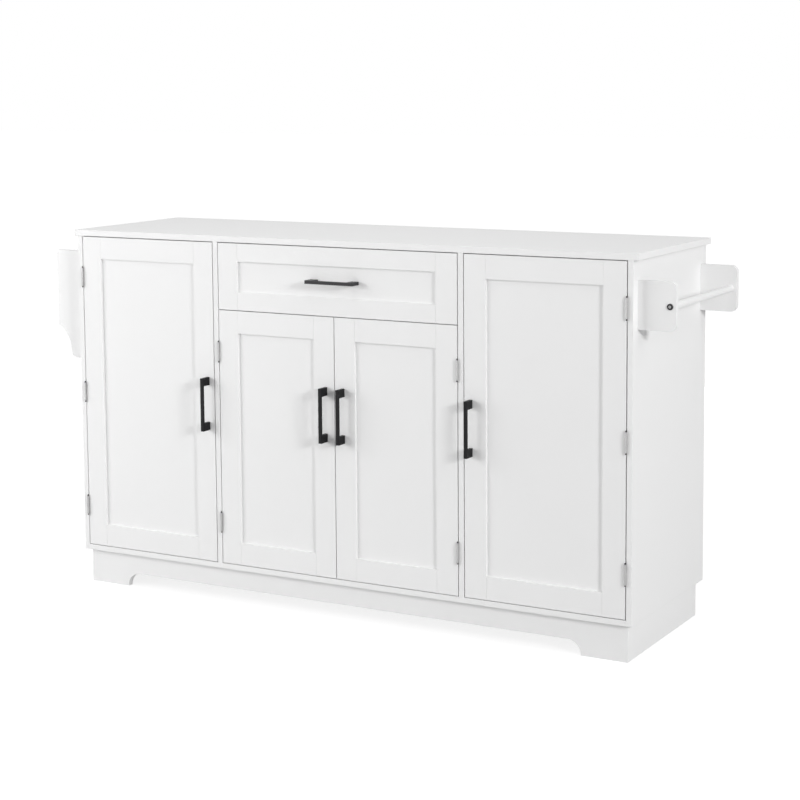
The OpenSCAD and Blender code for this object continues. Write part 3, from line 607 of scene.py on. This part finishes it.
class BUFFET_OT_pulls(bpy.types.Operator):
    """Rounds the pulls and gives them their powder coat"""

    bl_idname = "buffet.pulls"
    bl_label = "Pulls"

    def execute(self, context):
        ease = context.scene.buffet_sizes.pull_ease
        for door in DOORS:
            eased_copy(f"{door}_pull", ease, material("powder"), shortest=0.0)
        # The drawer's pull takes the paler copy of the powder coat: painted light from above, on the same
        # coat as the doors' pulls
        eased_copy("drawer_pull", ease, material("drawer_powder_painted_light"), shortest=0.0)
        paint_node("towel_rod_bolts", material("rod_bolt"))
        return {"FINISHED"}


class BUFFET_OT_racks(bpy.types.Operator):
    """Rounds and lacquers the towel rack and the spice rack"""

    bl_idname = "buffet.racks"
    bl_label = "Towel And Spice Racks"

    def execute(self, context):
        for node in RACK_BOARDS:
            eased_copy(node, context.scene.buffet_sizes.board_ease, material("lacquer"))
        return {"FINISHED"}


class BUFFET_OT_hinges(bpy.types.Operator):
    """Rounds the hinge leaves and finishes them, the hinge pins, catches and strikes"""

    bl_idname = "buffet.hinges"
    bl_label = "Hinges And Catches"

    def execute(self, context):
        ease = context.scene.buffet_sizes.hinge_ease
        eased_copy("frame_hinge_leaves", ease, material("steel_upright"), shortest=0.0)
        paint_node("hinge_pins", material("steel_dark"))
        paint_node("magnetic_catches", material("plastic"))
        for door in DOORS:
            eased_copy(f"{door}_hinge_leaves", ease, material("steel_upright"), shortest=0.0)
            paint_node(f"{door}_strike", material("steel_deep"))
        return {"FINISHED"}


class BUFFET_OT_slides(bpy.types.Operator):
    """Finishes the drawer slides, their ball cages and the hidden fittings"""

    bl_idname = "buffet.slides"
    bl_label = "Slides And Fittings"

    def execute(self, context):
        for node in (*SLIDE_PARTS, *CAGES, "shelf_pins", "panel_screws", "cam_fittings"):
            paint_node(node, material("steel_deep"))
        return {"FINISHED"}


def loose_parts(node):
    """Lowest and highest corner of each separate solid of a CAD node."""
    parts = []
    shape = bmesh.new()
    shape.from_mesh(frame["nodes"][node].data)
    bmesh.ops.remove_doubles(shape, verts=shape.verts, dist=WELD)
    loose = set(shape.verts)
    while loose:
        island, grow = set(), [loose.pop()]
        while grow:
            vertex = grow.pop()
            island.add(vertex)
            for edge in vertex.link_edges:
                other = edge.other_vert(vertex)
                if other in loose:
                    loose.discard(other)
                    grow.append(other)
        low = Vector([min(v.co[axis] for v in island) for axis in range(3)])
        high = Vector([max(v.co[axis] for v in island) for axis in range(3)])
        parts.append((low, high))
    shape.free()
    return parts


class BUFFET_OT_screws(bpy.types.Operator):
    """Drives the screws of hinges, pulls, catches, strikes and slides"""

    bl_idname = "buffet.screws"
    bl_label = "Screws"

    def execute(self, context):
        sizes = context.scene.buffet_sizes
        flat = {"Seat Diameter": sizes.hinge_screw * 0.6, "Crown Diameter": sizes.hinge_screw,
                "Head Height": 0.9 * MM, "Cross Depth": 0.6 * MM, "Cross Width": 0.8 * MM,
                "Seed": sizes.screw_seed}
        pan = {"Seat Diameter": sizes.pull_screw, "Crown Diameter": sizes.pull_screw * 0.72,
               "Head Height": 2.4 * MM, "Cross Depth": 1.4 * MM, "Cross Width": 1.1 * MM,
               "Seed": sizes.screw_seed}
        self.drive_hinge_screws(flat)
        self.drive_catch_screws(pan)
        self.drive_pull_screws(pan)
        self.drive_slide_screws(sizes)
        return {"FINISHED"}

    def drive_hinge_screws(self, flat):
        """Two countersunk screws in each leaf, their heads in the gap between the leaves."""
        places = {body: [] for body in (BODY_OF["frame_hinge_leaves"], *DOORS)}
        for node in ("frame_hinge_leaves", *(f"{door}_hinge_leaves" for door in DOORS)):
            for low, high in loose_parts(node):
                inward = 1 if (low.x + high.x) < 0 else -1
                side = inward if node == "frame_hinge_leaves" else -inward
                board = low.x + KNUCKLE_OVERHANG if side > 0 else high.x - KNUCKLE_OVERHANG
                seat = board + side * (LEAF_THICK - HINGE_HEAD_SUNK)
                middle = (low.z + high.z) / 2
                for rise in (-LEAF_HOLE_RISE, LEAF_HOLE_RISE):
                    places[BODY_OF[node]].append(((seat, LEAF_HOLE_Y, middle + rise), (side, 0, 0)))
        for body, seats in places.items():
            screw_heads(f"{body}_hinge_screws", body, seats, flat,
                        material("steel_deep"))

    def drive_catch_screws(self, pan):
        """Two screws up through each catch, and one through each strike."""
        places = []
        for low, high in loose_parts("magnetic_catches"):
            middle = (low.y + high.y) / 2
            for x in (low.x + CATCH_SCREW_INSET, high.x - CATCH_SCREW_INSET):
                places.append(((x, middle, low.z), (0, 0, -1)))
        small = {**pan, "Seat Diameter": 5.6 * MM, "Crown Diameter": 4.2 * MM, "Head Height": 1.4 * MM,
                 "Cross Depth": 0.9 * MM, "Cross Width": 0.9 * MM}
        screw_heads("catch_screws", BODY_OF["magnetic_catches"], places, small,
                    material("steel_deep"))
        flush = {**small, "Seat Diameter": 3.4 * MM, "Crown Diameter": 5.0 * MM, "Head Height": 1.1 * MM,
                 "Cross Depth": 0.7 * MM}
        for door in DOORS:
            low, high = node_box(f"{door}_strike")
            centre = (low + high) / 2
            screw_heads(f"{door}_strike_screw", door,
                        [((centre.x, low.y, centre.z), (0, 1, 0))], flush, material("steel_deep"))

    def drive_pull_screws(self, pan):
        """Screws behind each pull, and the screws that hold the drawer front to its box."""
        for door in DOORS:
            low, high = node_box(f"{door}_pull")
            back = node_box(f"{door}_frame")[1].y
            middle = (low.x + high.x) / 2
            places = [((middle, back, z), (0, 1, 0)) for z in (low.z + PULL_LEG / 2, high.z - PULL_LEG / 2)]
            screw_heads(f"{door}_pull_screws", door, places, pan,
                        material("steel_deep"))
        low, high = node_box("drawer_pull")
        box_low, box_high = node_box("drawer_box_front")
        middle = (low.z + high.z) / 2
        places = [((x, box_high.y, middle), (0, 1, 0)) for x in (low.x + PULL_LEG / 2, high.x - PULL_LEG / 2)]
        for x in (box_low.x + DRAWER_SCREW_INSET, box_high.x - DRAWER_SCREW_INSET):
            for z in (box_low.z + DRAWER_SCREW_RISE, box_high.z - DRAWER_SCREW_RISE):
                places.append(((x, box_high.y, z), (0, 1, 0)))
        screw_heads("drawer_front_screws", "drawer", places, pan,
                    material("steel_deep"))

    def drive_slide_screws(self, sizes):
        """Three flat screws in the web of each outer and each inner slide member."""
        flush = {"Seat Diameter": sizes.slide_screw * 0.6, "Crown Diameter": sizes.slide_screw,
                 "Head Height": 1.2 * MM, "Cross Depth": 0.8 * MM, "Cross Width": 1.0 * MM,
                 "Seed": sizes.screw_seed}
        for node, outward in (("slide_cabinet_members", 1), ("slide_drawer_members", -1)):
            places = []
            for low, high in loose_parts(node):
                side = outward if (low.x + high.x) < 0 else -outward
                wall = low.x if side > 0 else high.x
                height = (low.z + high.z) / 2
                for share in SLIDE_SCREW_SHARES:
                    y = low.y + share * (high.y - low.y)
                    places.append(((wall + side * SLIDE_SCREW_PROUD, y, height), (side, 0, 0)))
            screw_heads(f"{node}_screws", BODY_OF[node], places, flush, material("steel_dark"))


# Name, place, target, width and height, and power in watts
SOFTBOXES = (
    ("Left_Key", (-2.36, -3.5, 1.4), (0.0, -0.21, 0.55), (0.95, 0.95), 35.0),
    ("Left_High_Softbox", (-3.6, -2.2, 2.3), (-0.5, -0.2, 0.5), (2.4, 1.6), 49.0),
    ("Left_Low_Softbox", (-4.0, -2.6, 0.85), (-0.5, -0.2, 0.45), (2.6, 1.6), 34.0),
    ("Right_Key", (6.7, -3.3, 2.7), (0.3, -0.2, 0.6), (1.5, 1.2), 266.0),
    ("Right_High_Softbox", (3.6, -0.6, 3.0), (0.8, 0.0, 0.6), (2.0, 2.0), 26.0),
    ("Top_Softbox", (-0.2, -0.2, 2.9), (0.0, 0.0, 0.9), (3.2, 1.6), 20.0),
    ("Rear_Softbox", (0.0, 3.4, 0.45), (0.0, 0.2, 0.45), (1.4, 0.8), 46.0),
)


def area_light(name, place, target, size, power):
    """A soft box that shines from place to target."""
    lamp = bpy.data.lights.new(name, "AREA")
    lamp.shape = "RECTANGLE"
    lamp.size, lamp.size_y = size
    lamp.energy = power
    holder = bpy.data.objects.new(name, lamp)
    bpy.context.scene.collection.objects.link(holder)
    holder.location = place
    holder.rotation_euler = (Vector(target) - Vector(place)).to_track_quat("-Z", "Y").to_euler()
    holder.visible_camera = False
    holder.visible_transmission = False
    return holder


def seen_plainly(wire):
    """1 for camera, glossy and transmission rays, and 0 for the light that falls on the object."""
    camera = wire.node("ShaderNodeLightPath", output="Is Camera Ray")
    glossy = wire.node("ShaderNodeLightPath", output="Is Glossy Ray")
    through = wire.node("ShaderNodeLightPath", output="Is Transmission Ray")
    return camera.math("MAXIMUM", camera.math("MAXIMUM", camera, glossy), through)


class BUFFET_OT_stage(bpy.types.Operator):
    """Sets up the camera, the studio light and the pale floor"""

    bl_idname = "buffet.stage"
    bl_label = "Stage"

    def execute(self, context):
        stage = context.scene.buffet_stage
        self.make_camera(context, stage)
        self.make_world(context, stage)
        self.make_floor(stage)
        for name, place, target, size, power in SOFTBOXES:
            area_light(name, place, target, size, power)
        context.scene.view_settings.view_transform = "Standard"
        return {"FINISHED"}

    def make_camera(self, context, stage):
        """Aims the camera by heading, downward tilt and roll."""
        lens = bpy.data.cameras.new("Photo_Camera")
        lens.sensor_width = SENSOR_WIDTH
        lens.lens = stage.focal_length
        lens.shift_y = stage.camera_shift
        heading, tilt, roll = stage.camera_turn
        level = Vector((math.cos(heading), math.sin(heading), 0.0))
        forward = Vector((-math.sin(heading), math.cos(heading), 0.0))
        ahead = forward * math.cos(tilt) - Vector((0.0, 0.0, math.sin(tilt)))
        upward = level.cross(ahead)
        right = level * math.cos(roll) + upward * math.sin(roll)
        upward = right.cross(ahead)
        camera = bpy.data.objects.new("Photo_Camera", lens)
        camera.location = stage.camera_place
        camera.rotation_euler = Matrix((right, upward, -ahead)).transposed().to_euler()
        context.scene.collection.objects.link(camera)
        context.scene.camera = camera

    def make_world(self, context, stage):
        """Even light on the object, and plain white wherever the sky itself is seen."""
        world = bpy.data.worlds.new("White_Studio")
        world.use_nodes = True
        world.node_tree.nodes.clear()
        wire = Wire(world.node_tree)
        light = wire.node("ShaderNodeBackground", None,
                          {"Color": WHITE, "Strength": stage.sky})
        seen = wire.node("ShaderNodeBackground", None, {"Color": WHITE, "Strength": 1.0})
        both = wire.node("ShaderNodeMixShader", None, {0: seen_plainly(wire), 1: light, 2: seen})
        wire.node("ShaderNodeOutputWorld", None, {"Surface": both})
        context.scene.world = world

    def make_floor(self, stage):
        """A white floor that takes only the object's shadow, and that fades to plain white around it."""
        floor_material, wire = empty_material("Pale_Floor")
        dull = wire.node("ShaderNodeBsdfDiffuse", None, {"Color": FLOOR_BOUNCE})
        place = wire.node("ShaderNodeTexCoord", output="Object")
        distance = wire.node("ShaderNodeVectorMath", {"operation": "LENGTH"}, {0: place}, output="Value")
        away = wire.node("ShaderNodeMapRange", {"interpolation_type": "SMOOTHSTEP"}, {
            "Value": distance, "From Min": GLOW_NEAR, "From Max": GLOW_FAR,
            "To Min": stage.floor_glow, "To Max": 1.0})
        pale = wire.node("ShaderNodeBsdfDiffuse", None, {"Color": FLOOR_SHADE})
        glow = wire.node("ShaderNodeEmission", None, {"Color": WHITE, "Strength": away})
        shown = wire.node("ShaderNodeAddShader", None, {0: pale, 1: glow})
        both = wire.node("ShaderNodeMixShader", None, {0: seen_plainly(wire), 1: dull, 2: shown})
        wire.node("ShaderNodeOutputMaterial", None, {"Surface": both})
        form = bmesh.new()
        bmesh.ops.create_grid(form, x_segments=4, y_segments=4, size=FLOOR_REACH)
        mesh = bpy.data.meshes.new("Floor")
        form.to_mesh(mesh)
        form.free()
        floor = new_piece("Floor", mesh, floor_material)


STEPS = (
    BUFFET_OT_stage, BUFFET_OT_outer_boards, BUFFET_OT_inner_boards, BUFFET_OT_doors, BUFFET_OT_drawer,
    BUFFET_OT_pulls, BUFFET_OT_racks, BUFFET_OT_hinges, BUFFET_OT_slides, BUFFET_OT_screws,
)


class BUFFET_PT_panel(bpy.types.Panel):
    """Lists the cabinet's settings and steps"""

    bl_label = "Buffet Cabinet"
    bl_idname = "BUFFET_PT_panel"
    bl_space_type = "VIEW_3D"
    bl_region_type = "UI"
    bl_category = "Buffet"

    def draw(self, context):
        for group in (context.scene.buffet_finish, context.scene.buffet_sizes, context.scene.buffet_stage):
            box = self.layout.box()
            for name in group.__annotations__:
                box.prop(group, name)
        for step in STEPS:
            self.layout.operator(step.bl_idname)


GROUPS = {"buffet_finish": BuffetFinish, "buffet_sizes": BuffetSizes, "buffet_stage": BuffetStage}


def register():
    for group in GROUPS.values():
        bpy.utils.register_class(group)
    for step in (*STEPS, BUFFET_PT_panel):
        bpy.utils.register_class(step)
    for name, group in GROUPS.items():
        setattr(bpy.types.Scene, name, PointerProperty(type=group))


def unregister():
    for name in GROUPS:
        delattr(bpy.types.Scene, name)
    for made in (BUFFET_PT_panel, *reversed(STEPS), *GROUPS.values()):
        bpy.utils.unregister_class(made)


def main():
    register()
    for step in STEPS:
        family, name = step.bl_idname.split(".")
        getattr(getattr(bpy.ops, family), name)()


if __name__ == "__main__":
    main()
